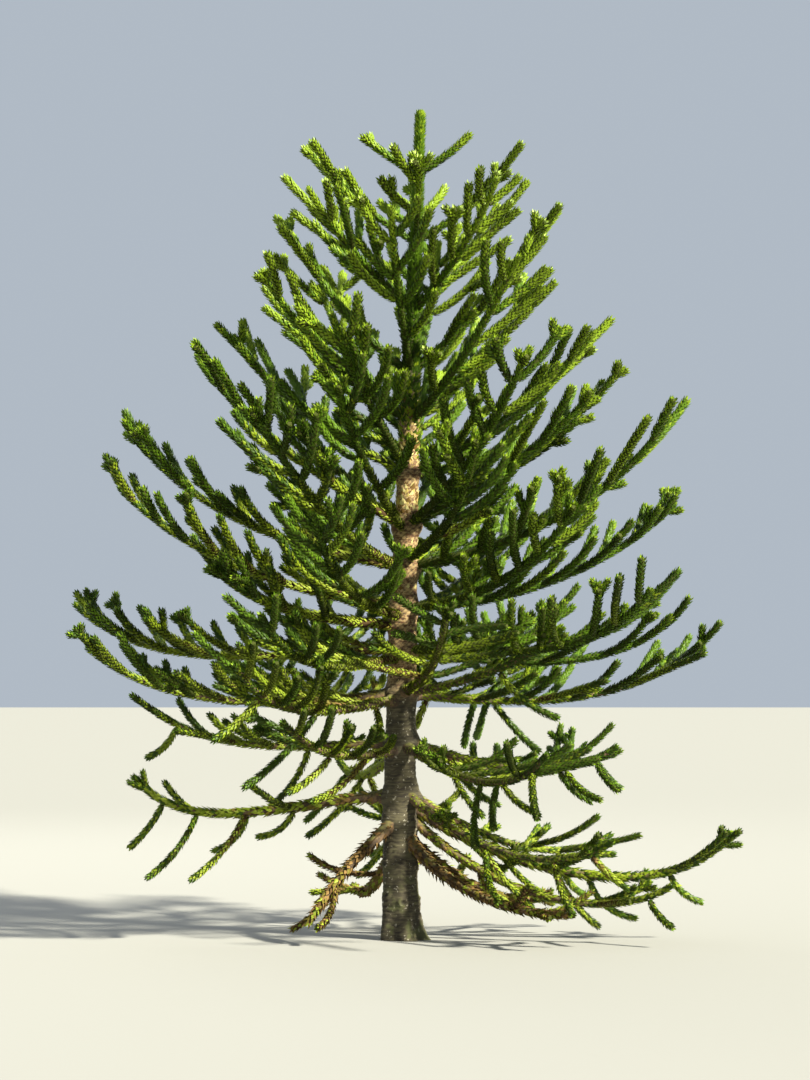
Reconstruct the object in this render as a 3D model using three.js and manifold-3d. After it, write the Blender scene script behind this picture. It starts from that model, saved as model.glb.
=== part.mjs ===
// A young monkey puzzle tree, rooted in the ground, in millimetres with +Z up. The origin is the
// middle of the flat cut under the trunk. +X is to the right of someone who looks along +Y.
// One straight trunk carries whorls of boughs. Each bough is a limb with a fishbone of thick, leafy,
// upturned shoots, and the shoots of one bough together are one mass of foliage.
import * as THREE from "three";
import { mergeGeometries, mergeVertices } from "three/addons/utils/BufferGeometryUtils.js";
import Module from "manifold-3d";

const wasm = await Module();
wasm.setup();

// Driving sizes
const HEIGHT = 5300;
const TRUNK_TOP = 5240;
const FOOT_RADIUS = 148;
const STEM_RADIUS = 110;
const TIP_RADIUS = 13;
const FLARE_HEIGHT = 130;
const TRUNK_BOW = 52;
const TRUNK_LEAN = 100;
const LIMB_RADIUS = 42;
const SHOOT_RADIUS = 35;
const TIP_SHOOT = 310;
const SHADED = 110;
const STRAIGHT_SHOOT = 400;
const GAP = 0.5;

// What changes up the trunk, as [height, value]: the gap between two pairs of shoots, how steeply
// a shoot turns up, how far it turns ahead, and how long the longest ones are
const NODE_GAPS = [[900, 270], [1500, 200], [3000, 265]];
const SHOOT_RISES = [[700, 0.2], [1240, 0.35], [1560, 0.5], [2000, 0.95], [3200, 0.85]];
const SHOOT_AHEAD = [[1400, 0.4], [3200, 0.6]];
const SHOOT_LENGTHS = [[700, 560], [1800, 620], [3200, 520]];

// The boughs from the ground up. whorl and at say which whorl they belong to and how high it is.
// toward has the compass angle of each bough, where 0 is +X and 270 is -Y. reach is how far its tip
// is from the trunk, climb how much higher than its foot, and rise its slope at the foot and at the
// tip. bare is the share of the limb with no shoots, and only such a limb is a bough of its own.
// hang is the share of the shoots that hang instead of turning up, splay how many degrees further
// they spread, and apart how much wider their gaps are. thick is how much thicker the limb is than
// the others. These five are left out where the limb has nothing of the kind.
const BOUGHS = [
  {
    whorl: 1, at: 770, toward: [216], reach: 720, climb: -620, rise: [-36, -52],
    bare: 0.5, hang: 1, thick: 1.6,
  },
  {
    whorl: 1, at: 720, toward: [326], reach: 1300, climb: -500, rise: [-52, 8],
    bare: 0.34, hang: 0.3, thick: 1.6,
  },
  {
    whorl: 2, at: 900, toward: [180], reach: 1750, climb: 130, rise: [0, 50],
    bare: 0.3, hang: 0.85, thick: 1.3,
  },
  {
    whorl: 2, at: 900, toward: [354], reach: 2000, climb: -200, rise: [-40, 46],
    bare: 0.26, hang: 0.35, thick: 1.5,
  },
  { whorl: 2, at: 900, toward: [92], reach: 1550, climb: -120, rise: [-12, 40], bare: 0.3, hang: 0.4 },
  { whorl: 3, at: 1240, toward: [175], reach: 1650, climb: 190, rise: [-4, 36], bare: 0.3, hang: 0.25 },
  { whorl: 3, at: 1240, toward: [302, 42], reach: 1680, climb: -40, rise: [-18, 44], bare: 0.26, hang: 0.15 },
  {
    whorl: 4, at: 1560, toward: [280], reach: 1500, climb: 500, rise: [8, 36],
    bare: 0.16, splay: 26, apart: 1.5,
  },
  { whorl: 4, at: 1560, toward: [190, 12, 116], reach: 2050, climb: 260, rise: [-4, 44], bare: 0.2 },
  { whorl: 5, at: 1830, toward: [168, 316, 62], reach: 2100, climb: 330, rise: [-2, 46] },
  { whorl: 6, at: 2100, toward: [186, 18, 112], reach: 1840, climb: 740, rise: [4, 50] },
  { whorl: 7, at: 2360, toward: [173, 238, 338, 72], reach: 1740, climb: 880, rise: [8, 52] },
  { whorl: 8, at: 2610, toward: [196, 300, 28, 124], reach: 1400, climb: 1000, rise: [22, 54] },
  { whorl: 9, at: 2960, toward: [160, 246, 346, 82], reach: 1200, climb: 900, rise: [24, 54] },
  { whorl: 10, at: 3290, toward: [202, 312, 36, 124], reach: 1040, climb: 940, rise: [30, 58] },
  { whorl: 11, at: 3600, toward: [174, 262, 358, 78], reach: 880, climb: 960, rise: [36, 60] },
  { whorl: 12, at: 3990, toward: [212, 314, 44, 134], reach: 760, climb: 760, rise: [38, 60] },
  { whorl: 13, at: 4430, toward: [182, 272, 4, 92], reach: 580, climb: 500, rise: [34, 56] },
];
// The short shoots under the leader
const CROWN = [
  { at: 4880, toward: [176, 4], reach: 345, climb: 240, rise: [28, 44] },
  { at: 4840, toward: [262, 84], reach: 300, climb: 130, rise: [20, 36] },
];
const SECTORS = ["right", "back_right", "back", "back_left", "left", "front_left", "front", "front_right"];

const UP = new THREE.Vector3(0, 0, 1);
const BACK = new THREE.Vector3(0, 1, 0);
const radians = THREE.MathUtils.degToRad;
const mix = THREE.MathUtils.lerp;

// A fixed uneven number from -1 to 1 for each bough, place and use
function uneven(bough, place, use) {
  const t = Math.sin(bough * 12.9898 + place * 78.233 + use * 37.719) * 43758.5453;
  return 2 * (t - Math.floor(t)) - 1;
}

// The value of a table at a height, along straight lines between its rows
function atHeight(table, z) {
  const above = table.findIndex(([height]) => height > z);
  if (above === -1) return table.at(-1)[1];
  if (above === 0) return table[0][1];
  const [[low, first], [high, second]] = table.slice(above - 1, above + 1);
  return mix(first, second, (z - low) / (high - low));
}

// The trunk bends a little to the left and comes back to end on the right of its foot
function trunkAxis(z) {
  const share = z / HEIGHT;
  return new THREE.Vector3(TRUNK_LEAN * share - TRUNK_BOW * Math.sin(Math.PI * Math.sqrt(share)), 0, z);
}

// The trunk keeps its width to shoulder height and then narrows to the leader
function trunkRadius(z) {
  const stem = mix(STEM_RADIUS, TIP_RADIUS, (z / TRUNK_TOP) ** 1.4);
  return stem + (FOOT_RADIUS - STEM_RADIUS) * Math.exp(-z / FLARE_HEIGHT);
}

// The roots' shoulders show as five low ribs at the foot
function rootRib(x, y, z) {
  const fading = Math.exp(-Math.max(z, 0) / (2 * FLARE_HEIGHT));
  return 1 + 0.13 * fading * Math.cos(5 * Math.atan2(y, x) + 0.7);
}

function solidOf(geometry) {
  const plain = geometry.clone();
  plain.deleteAttribute("normal");
  plain.deleteAttribute("uv");
  const merged = mergeVertices(plain, 1e-3);
  const corners = merged.index.array;
  const triVerts = [];
  for (let i = 0; i < corners.length; i += 3) {
    const [a, b, c] = corners.subarray(i, i + 3);
    if (a !== b && b !== c && c !== a) triVerts.push(a, b, c);
  }
  return new wasm.Manifold(
    new wasm.Mesh({
      numProp: 3,
      vertProperties: new Float32Array(merged.attributes.position.array),
      triVerts: new Uint32Array(triVerts),
    }),
  );
}

function geometryOf(solid) {
  const mesh = solid.getMesh();
  return new THREE.BufferGeometry()
    .setAttribute("position", new THREE.BufferAttribute(new Float32Array(mesh.vertProperties), 3))
    .setIndex(new THREE.BufferAttribute(new Uint32Array(mesh.triVerts), 1));
}

// A turned spindle of the given [radius, share of the length] rings, closed on its axis at both
// ends and bent along the curve
function bent(curve, rings, sides) {
  const outline = [[0, rings[0][1]], ...rings, [0, rings.at(-1)[1]]];
  const geometry = new THREE.LatheGeometry(outline.map(([r, t]) => new THREE.Vector2(r, t)), sides);
  const position = geometry.attributes.position;
  const reference = curve.getTangent(0).z > 0.95 ? BACK : UP;
  for (let i = 0; i < position.count; i++) {
    const t = position.getY(i);
    const along = curve.getTangent(THREE.MathUtils.clamp(t, 0, 1));
    const side = new THREE.Vector3().crossVectors(along, reference).normalize();
    const top = new THREE.Vector3().crossVectors(side, along);
    const place = curve.getPoint(t);
    place.addScaledVector(side, position.getX(i)).addScaledVector(top, position.getZ(i));
    position.setXYZ(i, place.x, place.y, place.z);
  }
  return solidOf(geometry);
}

// A bough's own line, from the middle of the trunk to its tip. No two are quite alike.
function boughLine(number, { at, reach, climb, rise }, compass) {
  const drift = 7 * uneven(number, 0, 1);
  const far = reach * (1 + 0.05 * uneven(number, 0, 2));
  const high = climb + 40 * uneven(number, 0, 3);
  const handle = Math.hypot(far, high) / 3;
  const outward = (angle) => new THREE.Vector3(Math.cos(radians(angle)), Math.sin(radians(angle)), 0);
  const slope = (angle, up) =>
    outward(angle).multiplyScalar(Math.cos(radians(up))).setZ(Math.sin(radians(up)));
  const foot = trunkAxis(at);
  const tip = foot.clone().addScaledVector(outward(compass), far).addScaledVector(UP, high);
  const [footRise, tipRise] = [rise[0] + 5 * uneven(number, 0, 4), rise[1] + 6 * uneven(number, 0, 5)];
  const leaving = foot.clone().addScaledVector(slope(compass - drift, footRise), handle);
  const arriving = tip.clone().addScaledVector(slope(compass + drift, tipRise), -handle);
  return new THREE.CubicBezierCurve3(foot, leaving, arriving, tip);
}

// The pairs of shoots of a bough, from its foot to its tip. A shoot leaves the limb sideways and
// turns up along it, or hangs down and turns out. Near the tip they are short, and the shaded ones
// near the foot are shorter. side is 1 on the left of the limb and -1 on its right.
function shootsOf({ line, number, at, bare, hang, splay, apart }) {
  const length = line.getLength();
  const first = Math.max(bare, (trunkRadius(at) + SHADED) / length);
  const gap = atHeight(NODE_GAPS, at) * (hang > 0.5 ? 1.15 : apart);
  const pairs = Math.round((length * (1 - first)) / gap);
  const shoots = [];
  for (let pair = 1; pair <= pairs; pair++) {
    const s = mix(first, 1, (pair - 0.4) / (pairs + 0.5));
    const foot = line.getPoint(s);
    const along = line.getTangent(s);
    const left = new THREE.Vector3().crossVectors(UP, along).normalize();
    const ahead = new THREE.Vector3().crossVectors(left, UP);
    const fromTip = length * (1 - s);
    const shade = mix(0.7, 1, Math.min(1, (2.2 * pair) / pairs));
    const longest = shade * Math.min(atHeight(SHOOT_LENGTHS, at), TIP_SHOOT + 0.36 * fromTip);
    for (const side of [-1, 1]) {
      const random = (use) => uneven(number, pair, side + use);
      const size = longest * (1 + 0.24 * random(4));
      const spread = radians(mix(40, 60, Math.min(1, fromTip / 900)) + 12 * random(7) + splay);
      const hangs = random(10) < 2 * hang - 1;
      const leaving = along.clone().multiplyScalar(Math.cos(spread));
      leaving.addScaledVector(left, side * Math.sin(spread)).addScaledVector(UP, hangs ? -1.5 : 0.12);
      const forward = hangs ? 0.7 : atHeight(SHOOT_AHEAD, at);
      const rising = (hangs ? -0.3 : atHeight(SHOOT_RISES, at) - splay / 120) + 0.35 * random(13);
      const turned = ahead.clone().multiplyScalar(forward).addScaledVector(left, 0.35 * side);
      turned.addScaledVector(UP, rising).normalize();
      const bend = foot.clone().addScaledVector(leaving.normalize(), size * 0.52);
      const tip = bend.clone().addScaledVector(turned, size * 0.48);
      const curve = new THREE.QuadraticBezierCurve3(foot, bend, tip);
      shoots.push({ s, side, pair, pairs, size: Math.round(size), curve });
    }
  }
  return shoots;
}

// The limb thins towards its tip, and where it leaves a thin trunk it is thinner too
function limbRadius({ at, line, thick }, t) {
  const foot = Math.min(LIMB_RADIUS * thick, 0.6 * trunkRadius(at));
  const grown = mix(foot, LIMB_RADIUS * thick, Math.min(1, (t * line.getLength()) / 250));
  return mix(grown, SHOOT_RADIUS * 0.85, t ** 1.5);
}

const LIMB_SIDES = 6;
function limbSolid(bough, grow) {
  const rings = [0, 0.5, 1].map((p) => [limbRadius(bough, p * bough.bare) + grow, p * bough.bare]);
  return bent(bough.line, rings, LIMB_SIDES);
}

// A mass laid flat, as blocks of [x from, x to, y from, y to]: a strip along x for the limb, and on
// it a straight tooth along y for each shoot. All are whole or half millimetres, so that the corners
// of two blocks agree exactly.
function flatBlocks(start, end, shoots, grow) {
  const half = LIMB_RADIUS + grow;
  const width = SHOOT_RADIUS + grow;
  const teeth = shoots.flatMap(({ middle, side, size }) => {
    const steps = (size < STRAIGHT_SHOOT ? [0, 1] : [0, 0.5, 1]).map((t) => half + t * (size + grow));
    const parts = steps.slice(1).map((far, i) => [steps[i] * side, far * side].sort((p, q) => p - q));
    return parts.map((ends) => [middle - width, middle + width, ...ends]);
  });
  const breaks = shoots.flatMap(({ middle }) => [middle - width, middle + width]);
  const places = [...new Set([start, ...breaks, end])].sort((p, q) => p - q);
  const strip = places.slice(1).map((far, i) => [places[i], far, -half, half]);
  return [...strip, ...teeth];
}

// Blocks as one closed surface. A face that two blocks share is inside, so it is left out.
function joinedBlocks(blocks, thick) {
  const boxes = blocks.map(([x0, x1, y0, y1]) =>
    new THREE.BoxGeometry(x1 - x0, y1 - y0, thick).translate((x0 + x1) / 2, (y0 + y1) / 2, 0),
  );
  const geometry = mergeGeometries(boxes);
  const { position } = geometry.attributes;
  const corner = (v) => [position.getX(v), position.getY(v), position.getZ(v)].join();
  const faces = new Map();
  for (let i = 0; i < geometry.index.count; i += 6) {
    const face = [...geometry.index.array.subarray(i, i + 6)];
    const key = [...new Set(face.map(corner))].sort().join(" ");
    faces.set(key, faces.has(key) ? [] : face);
  }
  return geometry.setIndex([...faces.values()].flat());
}

// A mass of foliage: each point of the flat strip is carried to the limb's line, and each point of
// a tooth to its shoot's line. Shoots narrow to their tips.
const LEAF_WRAP = 1.1;
const TIP_WIDTH = 0.72;
function foliageSolid(bough, shoots, grow) {
  const { line, bare } = bough;
  const length = Math.round(line.getLength());
  const teeth = shoots.map((shoot) => ({ ...shoot, middle: Math.round(shoot.s * length) }));
  const start = bare && Math.round(bare * length) + GAP;
  const blocks = flatBlocks(start - grow, length + grow, teeth, grow);
  const geometry = joinedBlocks(blocks, 2 * (LIMB_RADIUS + grow));
  const { position } = geometry.attributes;
  for (let i = 0; i < position.count; i++) {
    const [x, y, z] = [position.getX(i), position.getY(i), position.getZ(i)];
    const outward = Math.abs(y) - LIMB_RADIUS - grow;
    const isOn = (one) => one.side === Math.sign(y) && Math.abs(x - one.middle) < 2 * SHOOT_RADIUS;
    const tooth = outward > 1 && teeth.find(isOn);
    const t = tooth ? outward / tooth.size : x / length;
    const curve = tooth ? tooth.curve : line;
    const along = curve.getTangent(THREE.MathUtils.clamp(t, 0, 1));
    const place = curve.getPoint(t);
    if (tooth) {
      const across = line.getTangent(tooth.s);
      across.addScaledVector(along, -across.dot(along)).normalize();
      const top = new THREE.Vector3().crossVectors(across, along).multiplyScalar(tooth.side);
      const width = LEAF_WRAP * (t > 0.9 ? TIP_WIDTH : 1);
      place.addScaledVector(across, width * (x - tooth.middle)).addScaledVector(top, width * z);
    } else {
      const left = new THREE.Vector3().crossVectors(UP, along).normalize();
      const top = new THREE.Vector3().crossVectors(along, left);
      const width = limbRadius(bough, THREE.MathUtils.clamp(t, 0, 1)) / LIMB_RADIUS;
      place.addScaledVector(left, width * y).addScaledVector(top, width * z);
    }
    position.setXYZ(i, place.x, place.y, place.z);
  }
  return solidOf(geometry);
}

const TRUNK_SIDES = 14;
const TRUNK_HEIGHTS = [0, 70, 190, 420, 1000, 1800, 2600, 3400, 4200, TRUNK_TOP];
function trunkSolid(grow) {
  const outline = TRUNK_HEIGHTS.map((z) => new THREE.Vector2(trunkRadius(z) + grow, z));
  outline[0].y = -grow;
  outline.at(-1).y = TRUNK_TOP + grow;
  outline.unshift(new THREE.Vector2(0, -grow));
  outline.push(new THREE.Vector2(0, TRUNK_TOP + grow));
  const geometry = new THREE.LatheGeometry(outline, TRUNK_SIDES);
  const position = geometry.attributes.position;
  for (let i = 0; i < position.count; i++) {
    const z = position.getY(i);
    const x = position.getX(i);
    const y = -position.getZ(i);
    const rib = rootRib(x, y, z);
    const axis = trunkAxis(THREE.MathUtils.clamp(z, 0, TRUNK_TOP));
    position.setXYZ(i, axis.x + x * rib, y * rib, z);
  }
  return solidOf(geometry);
}

// The leader with its four young shoots, round the tip of the trunk. LEADER and CROWN_SHOOT are
// their rings, as [radius, share of the length].
const CROWN_SIDES = 4;
const CROWN_NUMBER = 140;
const LEADER_START = 4650;
const LEADER = [[46, 0], [44, 0.6], [38, 1]];
const CROWN_SHOOT = [[33, 0], [36, 0.6], [30, 1]];
function leaderSolid(grow) {
  const line = new THREE.LineCurve3(trunkAxis(LEADER_START), trunkAxis(HEIGHT));
  const grown = (rings) => rings.map(([radius, t]) => [radius + grow, t]);
  let solid = bent(line, grown(LEADER), LIMB_SIDES);
  const lines = CROWN.flatMap((row) => row.toward.map((compass) => ({ row, compass })));
  lines.forEach(({ row, compass }, i) => {
    solid = solid.add(bent(boughLine(CROWN_NUMBER + i, row, compass), grown(CROWN_SHOOT), CROWN_SIDES));
  });
  return solid;
}

const bark = new THREE.MeshStandardMaterial({ color: 0x6b6152, roughness: 0.95, metalness: 0 });
const limbBark = new THREE.MeshStandardMaterial({ color: 0x5c5238, roughness: 0.95, metalness: 0 });
const foliage = new THREE.MeshStandardMaterial({ color: 0x4f6b22, roughness: 0.6, metalness: 0 });

const boughs = BOUGHS.flatMap((row, r) =>
  row.toward.map((compass, k) => {
    const number = 7 * (r + 1) + k;
    const sector = SECTORS[Math.round(compass / 45) % SECTORS.length];
    const name = `${String(row.whorl).padStart(2, "0")}_${sector}`;
    const plain = { bare: 0, hang: 0, splay: 0, apart: 1, thick: 1 };
    return { ...plain, ...row, name, number, line: boughLine(number, row, compass) };
  }),
);

// Whether two solids share room
function meet(a, b) {
  const [p, q] = [a.boundingBox(), b.boundingBox()];
  const apart = [0, 1, 2].some((k) => p.min[k] > q.max[k] || q.min[k] > p.max[k]);
  return !apart && a.intersect(b).volume() > 0;
}

const tree = new THREE.Group();
tree.name = "monkey_puzzle_tree";
const placed = [];

// Adds a solid under its name, cut clear of all that stands already. wide is the same solid with
// the gap round it, which the later ones are cut with.
function addPiece(name, solid, wide, material) {
  for (const other of placed) {
    if (meet(solid, other)) solid = solid.subtract(other);
  }
  const [largest] = solid.decompose().sort((a, b) => b.volume() - a.volume());
  const mesh = new THREE.Mesh(geometryOf(largest), material);
  mesh.name = name;
  tree.add(mesh);
  placed.push(wide);
}

addPiece("trunk", trunkSolid(0), trunkSolid(GAP), bark);
for (const bough of boughs.filter(({ bare }) => bare)) {
  addPiece(`bough_${bough.name}`, limbSolid(bough, 0), limbSolid(bough, GAP), limbBark);
}
addPiece("foliage_leader", leaderSolid(0), leaderSolid(GAP), foliage);

// Up to four pairs of shoots are in the mass. A shoot that would meet the ground or another bough
// or its shoots is left out.
const PAIRS_AT_MOST = 4;
const LOWEST = 1.6 * SHOOT_RADIUS;
const CLEARANCE = 2.9 * SHOOT_RADIUS;
const taken = boughs.flatMap(({ name, line }) =>
  line.getSpacedPoints(40).map((point) => ({ name, point })),
);
for (const bough of boughs) {
  const shoots = shootsOf(bough).filter(({ pair, pairs, curve }) => {
    if ((pairs - pair) % Math.ceil(pairs / PAIRS_AT_MOST) !== 0) return false;
    const points = curve.getSpacedPoints(9);
    const others = taken.filter(({ name }) => name !== bough.name);
    const isClear = (point) => others.every((other) => other.point.distanceTo(point) > CLEARANCE);
    const clear = points.every((point) => point.z > LOWEST && isClear(point));
    if (clear) points.forEach((point) => taken.push({ name: bough.name, point }));
    return clear;
  });
  const wide = foliageSolid(bough, shoots, GAP);
  addPiece(`foliage_${bough.name}`, foliageSolid(bough, shoots, 0), wide, foliage);
}

export default tree;
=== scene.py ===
# %% [markdown]
# # A young monkey puzzle tree
# The tree has one straight trunk with whorls of limbs. Each limb carries pairs of thick shoots, like
# the ribs of a fish, and stiff pointed leaves wrap every shoot in a close spiral. Where people can
# reach, the shoots are old and brown. At the top they are fresh and green.
#
# The imported CAD model is the frame for all of this. It has the same axes and the same size, in
# metres: +Z is up, the origin is the middle of the trunk's flat cut, and the viewer looks along +Y.

# %% Load the frame
import math

import bpy
import numpy as np
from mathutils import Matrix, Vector, noise


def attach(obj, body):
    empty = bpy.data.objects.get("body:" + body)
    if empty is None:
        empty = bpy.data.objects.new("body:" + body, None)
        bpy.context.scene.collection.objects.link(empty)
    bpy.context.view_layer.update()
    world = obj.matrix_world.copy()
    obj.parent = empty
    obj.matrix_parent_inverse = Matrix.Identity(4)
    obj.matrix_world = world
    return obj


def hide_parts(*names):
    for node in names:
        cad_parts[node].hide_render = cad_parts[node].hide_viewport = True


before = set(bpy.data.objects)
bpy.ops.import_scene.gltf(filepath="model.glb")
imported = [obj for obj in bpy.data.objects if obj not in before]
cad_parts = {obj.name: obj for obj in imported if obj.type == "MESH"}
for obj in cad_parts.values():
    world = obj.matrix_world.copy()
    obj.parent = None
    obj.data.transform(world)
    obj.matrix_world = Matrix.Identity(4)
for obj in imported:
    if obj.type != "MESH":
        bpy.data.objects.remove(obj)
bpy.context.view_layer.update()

print("CAD nodes:", len(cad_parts))

# %% [markdown]
# ## Camera
# The eye is where a standing person's was, almost 20 m off, so that the limbs near the eye and those
# behind the trunk have the right sizes. A long lens then fills the picture with the tree. The
# picture is portrait, so the sensor's 36 mm lie along its height.

# %% The camera
EYE = Vector((0.0, -19.83, 1.66))
AIM = Vector((0.0, 0.0, 2.53))
LENS = 104
SENSOR = 36

scene = bpy.context.scene
camera_data = bpy.data.cameras.new("camera")
camera_data.lens = LENS
camera_data.sensor_width = SENSOR
camera = bpy.data.objects.new("camera", camera_data)
camera.location = EYE
camera.rotation_euler = (AIM - EYE).to_track_quat("-Z", "Y").to_euler()
scene.collection.objects.link(camera)
scene.camera = camera
print("camera to trunk:", round((AIM - EYE).length, 2), "m")

# %% [markdown]
# ## Floor and light
# A plain pale floor runs to the horizon, and the world above it is pale too, so nothing draws the
# eye away from the tree. A broad, soft, warm key light high on the right stands in for the sun. Large
# lamps fill in from the left and give the shoots a bright edge from behind.

# %% The floor
FLOOR_HALF = 150
FLOOR_COLOUR = (0.29, 0.29, 0.275, 1)

floor_mesh = bpy.data.meshes.new("floor")
corners = [(x * FLOOR_HALF, y * FLOOR_HALF, 0) for x, y in ((-1, -1), (1, -1), (1, 1), (-1, 1))]
floor_mesh.from_pydata(corners, [], [(0, 1, 2, 3)])
floor = bpy.data.objects.new("floor", floor_mesh)
scene.collection.objects.link(floor)
floor_paint = bpy.data.materials.new("floor_paint")
floor_paint.use_nodes = True
floor_shader = floor_paint.node_tree.nodes["Principled BSDF"]
floor_shader.inputs["Base Color"].default_value = FLOOR_COLOUR
floor_shader.inputs["Roughness"].default_value = 0.9
floor_mesh.materials.append(floor_paint)
print("floor:", 2 * FLOOR_HALF, "m square")

# %% The light
SKY_COLOUR = (0.78, 0.88, 1.0, 1)
SKY_STRENGTH = 0.56
# A light's last number is its size: metres for a lamp, an angle for the sun.
LIGHTS = [
    ("key", "SUN", (12, -9, 12), (1.0, 0.95, 0.78), 14.0, math.radians(4)),
    ("fill", "AREA", (-12, -11, 6), (0.9, 0.95, 1.0), 35, 8),
    ("rim", "AREA", (-6, 12, 11), (1.0, 0.98, 0.9), 700, 7),
]

world = bpy.data.worlds.new("pale sky")
world.use_nodes = True
world.node_tree.nodes["Background"].inputs["Color"].default_value = SKY_COLOUR
world.node_tree.nodes["Background"].inputs["Strength"].default_value = SKY_STRENGTH
scene.world = world
scene.view_settings.view_transform = "Standard"
for name, kind, place, colour, energy, size in LIGHTS:
    light = bpy.data.lights.new(name, kind)
    light.energy = energy
    light.color = colour
    setattr(light, "angle" if kind == "SUN" else "size", size)
    holder = bpy.data.objects.new(name, light)
    holder.location = place
    holder.rotation_euler = (AIM - Vector(place)).to_track_quat("-Z", "Y").to_euler()
    scene.collection.objects.link(holder)

# %% [markdown]
# ## The trunk's own line and the limbs' own lines
# The trunk bends a little to the left and comes back to end on the right of its foot. A limb is a
# smooth curve with four handles: its foot on the trunk's line, a handle that gives its slope there,
# a handle that gives its slope at the tip, and the tip. The low limbs leave downwards and turn up at
# their ends, and the high ones climb more and more steeply. These are the same numbers and formulas
# as in the CAD model, so that the leaves grow exactly where the plain solids are.

# %% Sizes of the trunk
HEIGHT = 5.3
TRUNK_TOP = 5.24
FOOT_RADIUS = 0.148
STEM_RADIUS = 0.110
TIP_RADIUS = 0.013
FLARE_HEIGHT = 0.13
TRUNK_BOW = 0.052
TRUNK_LEAN = 0.1


def mix(a, b, t):
    """The value a share t of the way from a to b."""
    return a + (b - a) * t


def trunk_axis(z):
    """The middle of the trunk at the height z."""
    z = np.asarray(z, float)
    share = np.clip(z, 0, HEIGHT) / HEIGHT
    x = TRUNK_LEAN * share - TRUNK_BOW * np.sin(np.pi * np.sqrt(share))
    return np.stack([x, np.zeros_like(z), z], axis=-1)


def trunk_radius(z):
    """The trunk keeps its width to shoulder height and then narrows to the leader."""
    stem = mix(STEM_RADIUS, TIP_RADIUS, (z / TRUNK_TOP) ** 1.4)
    return stem + (FOOT_RADIUS - STEM_RADIUS) * np.exp(-z / FLARE_HEIGHT)


print("trunk at chest height:", round(200 * float(trunk_radius(1.3)), 1), "cm across")

# %% Sizes of the limbs
# The first list of a pair has heights on the trunk, and the second what holds for the limbs there:
# the gap between pairs of shoots, how steeply the shoots rise and how far they turn forwards, and
# the length of the longest. TIP_SHOOT is the length at the tip, and SHADED is the bare part of a limb
# next to the trunk.
NODE_GAPS = ([0.9, 1.5, 3.0], [0.270, 0.200, 0.265])
SHOOT_RISES = ([0.7, 1.24, 1.56, 2.0, 3.2], [0.20, 0.35, 0.50, 0.95, 0.85])
SHOOT_AHEAD = ([1.4, 3.2], [0.40, 0.60])
SHOOT_LENGTHS = ([0.7, 1.8, 3.2], [0.56, 0.62, 0.52])
TIP_SHOOT = 0.310
SHADED = 0.11
# How uneven the limbs are: in degrees for DRIFT and for the slopes at foot and tip, as a share for
# the reach, and in metres for the climb and for the height of the foot.
DRIFT, UNEVEN_SLOPES = 7, (5, 6)
UNEVEN_REACH, UNEVEN_CLIMB, UNEVEN_AT = 0.05, 0.04, 0.05
# toward has compass angles: 0 is +X and 270 is towards the viewer. climb is how much higher the tip
# is than the foot, rise the slope at the foot and at the tip. bare is the share with no shoots,
# hang the share of the shoots that hang, splay how many degrees further they spread, apart how much
# wider their gaps are, and thick how much thicker the limb is than the others. tint shifts the tone
# of the leaves: down towards dead brown on the lowest limbs, and on the front fan of the fourth
# whorl towards a bright olive that is painted sunlight.
BOUGHS = [
    dict(whorl=1, at=0.77, toward=[216], reach=0.72, climb=-0.62, rise=(-36, -52), bare=0.5, hang=1,
         thick=1.6, tint=-0.1),
    dict(whorl=1, at=0.72, toward=[326], reach=1.3, climb=-0.5, rise=(-52, 8), bare=0.34, hang=0.3,
         thick=1.6, tint=-0.06),
    dict(whorl=2, at=0.9, toward=[180], reach=1.75, climb=0.13, rise=(0, 50), bare=0.3, hang=0.85,
         thick=1.3),
    dict(whorl=2, at=0.9, toward=[354], reach=2.0, climb=-0.2, rise=(-40, 46), bare=0.26, hang=0.35,
         thick=1.5),
    dict(whorl=2, at=0.9, toward=[92], reach=1.55, climb=-0.12, rise=(-12, 40), bare=0.3, hang=0.4),
    dict(whorl=3, at=1.24, toward=[175], reach=1.65, climb=0.19, rise=(-4, 36), bare=0.3, hang=0.25),
    dict(whorl=3, at=1.24, toward=[302, 42], reach=1.68, climb=-0.04, rise=(-18, 44), bare=0.26,
         hang=0.15),
    # The front fan's tint paints its leaves the bright olive of sunlit shoots.
    dict(whorl=4, at=1.56, toward=[280], reach=1.5, climb=0.5, rise=(8, 36), bare=0.16,
         splay=26, apart=1.5, tint=-0.05),
    dict(whorl=4, at=1.56, toward=[190, 12, 116], reach=2.05, climb=0.26, rise=(-4, 44), bare=0.2),
    dict(whorl=5, at=1.83, toward=[168, 316, 62], reach=2.1, climb=0.33, rise=(-2, 46)),
    dict(whorl=6, at=2.1, toward=[186, 18, 112], reach=1.84, climb=0.74, rise=(4, 50)),
    dict(whorl=7, at=2.36, toward=[173, 238, 338, 72], reach=1.74, climb=0.88, rise=(8, 52)),
    dict(whorl=8, at=2.61, toward=[196, 300, 28, 124], reach=1.4, climb=1.0, rise=(22, 54)),
    dict(whorl=9, at=2.96, toward=[160, 246, 346, 82], reach=1.2, climb=0.9, rise=(24, 54)),
    dict(whorl=10, at=3.29, toward=[202, 312, 36, 124], reach=1.04, climb=0.94, rise=(30, 58)),
    dict(whorl=11, at=3.6, toward=[174, 262, 358, 78], reach=0.88, climb=0.96, rise=(36, 60)),
    dict(whorl=12, at=3.99, toward=[212, 314, 44, 134], reach=0.76, climb=0.76, rise=(38, 60)),
    dict(whorl=13, at=4.43, toward=[182, 272, 4, 92], reach=0.58, climb=0.5, rise=(34, 56)),
]
CROWN = [
    dict(whorl=14, at=4.88, toward=[176, 4], reach=0.345, climb=0.24, rise=(28, 44)),
    dict(whorl=14, at=4.84, toward=[262, 84], reach=0.3, climb=0.13, rise=(20, 36)),
]
ROW_NUMBERS, CROWN_NUMBER = 7, 140
PLAIN = dict(bare=0, hang=0, splay=0, apart=1, thick=1, tint=0)
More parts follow.
